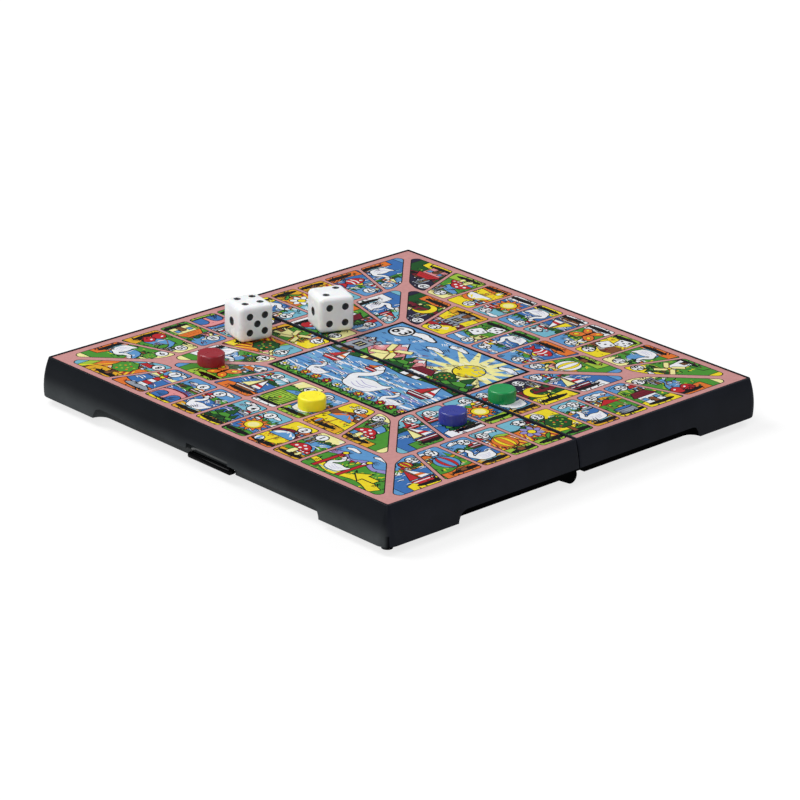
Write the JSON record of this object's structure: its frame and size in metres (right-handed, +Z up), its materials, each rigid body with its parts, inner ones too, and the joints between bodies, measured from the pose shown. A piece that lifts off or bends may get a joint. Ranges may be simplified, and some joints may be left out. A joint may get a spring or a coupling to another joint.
{
  "type": "folding magnetic board game case",
  "caption": "Folding travel case opened flat as a printed magnetic goose game board, with a latch clasp, counters and dice.",
  "frame": {"origin": "centre of the bounding box at its bottom: on the table, under the middle of the seam", "axes": "+X along the seam, +Y from the latch wall to the catch wall, +Z up out of the play surface"},
  "size_m": [0.1644, 0.1644, 0.0279],
  "materials": {
    "black_plastic": "satin moulded, fine grain",
    "clasp_plastic": "smooth moulded",
    "tinplate": "rolled, plain",
    "printed_laminate": "full-colour print under a gloss film",
    "pin_steel": "drawn wire",
    "magnet_metal": "nickel plated",
    "white_plastic": "polished, black inked pips",
    "red_plastic": "smooth moulded",
    "yellow_plastic": "smooth moulded",
    "blue_plastic": "smooth moulded",
    "green_plastic": "smooth moulded"
  },
  "bodies": {
    "front_half": {"front_case_half": "black_plastic", "front_steel_sheet": "tinplate", "front_printed_sheet": "printed_laminate", "hinge_pin_right": "pin_steel"},
    "back_half": {"back_case_half": "black_plastic", "back_steel_sheet": "tinplate", "back_printed_sheet": "printed_laminate", "hinge_pin_left": "pin_steel"},
    "clasp": {"latch_clasp": "clasp_plastic"},
    "red_counter": {"counter_red": "red_plastic", "magnet_red": "magnet_metal"},
    "yellow_counter": {"counter_yellow": "yellow_plastic", "magnet_yellow": "magnet_metal"},
    "blue_counter": {"counter_blue": "blue_plastic", "magnet_blue": "magnet_metal"},
    "green_counter": {"counter_green": "green_plastic", "magnet_green": "magnet_metal"},
    "left_die": {"die_left": "white_plastic"},
    "right_die": {"die_right": "white_plastic"}
  },
  "joints": [
    {"name": "fold", "type": "hinge", "parent": "front_half", "child": "back_half", "pos_m": [0, 0, 0.00275], "axis": [-1, 0, 0], "range_deg": [0, 180]},
    {"name": "clasp_swing", "type": "hinge", "parent": "front_half", "child": "clasp", "pos_m": [0.002, -0.0783, 0.0064], "axis": [-1, 0, 0], "range_deg": [0, 60]},
    {"name": "red_counter_lift", "type": "slide", "parent": "front_half", "child": "red_counter", "axis": [0, 0, 1], "range_m": [0, 0.04]},
    {"name": "yellow_counter_lift", "type": "slide", "parent": "front_half", "child": "yellow_counter", "axis": [0, 0, 1], "range_m": [0, 0.04]},
    {"name": "blue_counter_lift", "type": "slide", "parent": "front_half", "child": "blue_counter", "axis": [0, 0, 1], "range_m": [0, 0.04]},
    {"name": "green_counter_lift", "type": "slide", "parent": "back_half", "child": "green_counter", "axis": [0, 0, 1], "range_m": [0, 0.04]},
    {"name": "left_die_lift", "type": "slide", "parent": "front_half", "child": "left_die", "axis": [0, 0, 1], "range_m": [0, 0.04]},
    {"name": "right_die_lift", "type": "slide", "parent": "back_half", "child": "right_die", "axis": [0, 0, 1], "range_m": [0, 0.04]}
  ]
}
